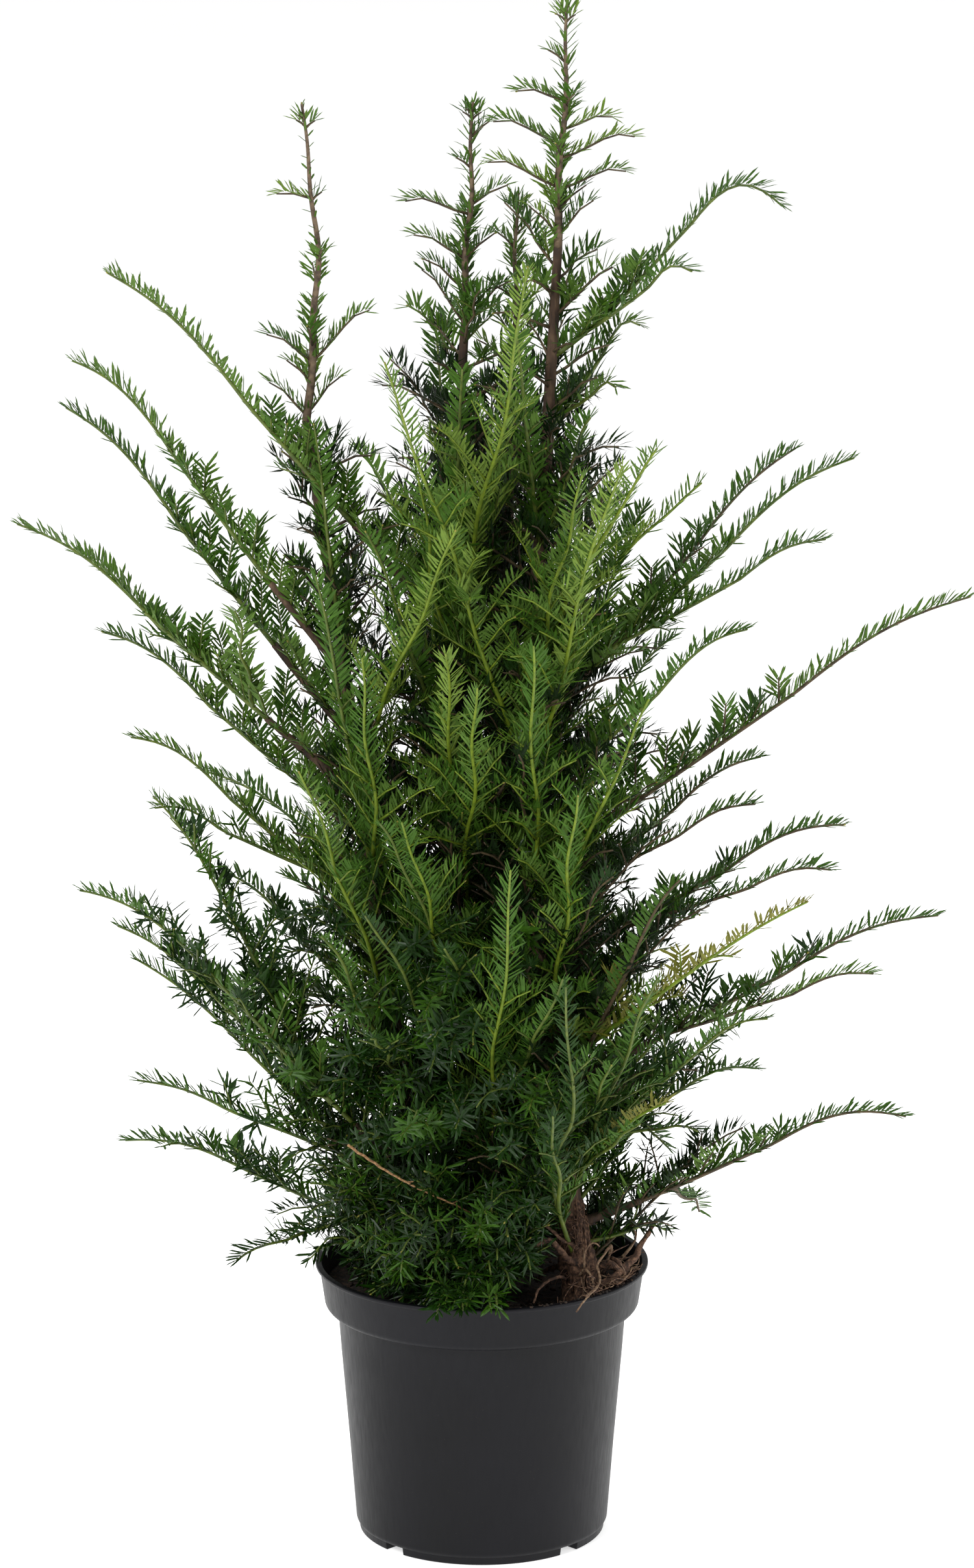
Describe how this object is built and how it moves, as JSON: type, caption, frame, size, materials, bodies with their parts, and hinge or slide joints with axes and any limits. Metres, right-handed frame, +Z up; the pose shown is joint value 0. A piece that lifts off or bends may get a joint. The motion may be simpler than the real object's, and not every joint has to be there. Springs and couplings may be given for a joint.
{
  "type": "english yew in a nursery pot",
  "caption": "Conical english yew with upswept needled shoots on several stems, bare bark low down, growing from dark soil in a round black plastic nursery pot with a folded collar",
  "frame": {"origin": "Centre of the pot's underside, on the surface that it stands on", "axes": "+Z up to the leader's tip, -Y towards the viewer of the picture, +X to the viewer's right"},
  "size_m": [0.799, 0.5688, 1.2956],
  "materials": {
    "pot": "black moulded polypropylene, satin",
    "soil": "dark potting compost with bark fibre",
    "bark": "thin flaking brown yew bark",
    "needles": "glossy dark green flat needles"
  },
  "bodies": {
    "root": {"back_1_needles": "needles", "back_2_needles": "needles", "back_3_needles": "needles", "back_4_bough": "bark", "back_4_needles": "needles", "back_5_needles": "needles", "back_leader_needles": "needles", "back_stem": "bark", "front_10_needles": "needles", "front_1_needles": "needles", "front_2_needles": "needles", "front_3_needles": "needles", "front_4_needles": "needles", "front_5_needles": "needles", "front_6_needles": "needles", "front_7_needles": "needles", "front_8_needles": "needles", "front_9_needles": "needles", "left_10_needles": "needles", "left_1_bough": "bark", "left_1_needles": "needles", "left_2_bough": "bark", "left_2_needles": "needles", "left_3_bough": "bark", "left_3_needles": "needles", "left_4_bough": "bark", "left_4_needles": "needles", "left_5_needles": "needles", "left_6_needles": "needles", "left_7_needles": "needles", "left_8_bough": "bark", "left_8_needles": "needles", "left_9_needles": "needles", "left_leader_needles": "needles", "left_stem": "bark", "main_leader_needles": "needles", "main_stem": "bark", "pot": "pot", "right_10_needles": "needles", "right_11_bough": "bark", "right_11_needles": "needles", "right_12_needles": "needles", "right_13_bough": "bark", "right_13_needles": "needles", "right_1_needles": "needles", "right_2_needles": "needles", "right_3_needles": "needles", "right_4_needles": "needles", "right_5_bough": "bark", "right_5_needles": "needles", "right_6_bough": "bark", "right_6_needles": "needles", "right_7_needles": "needles", "right_8_needles": "needles", "right_9_bough": "bark", "right_9_needles": "needles", "second_leader_needles": "needles", "second_stem": "bark", "soil": "soil", "surface_roots": "bark"}
  },
  "joints": []
}
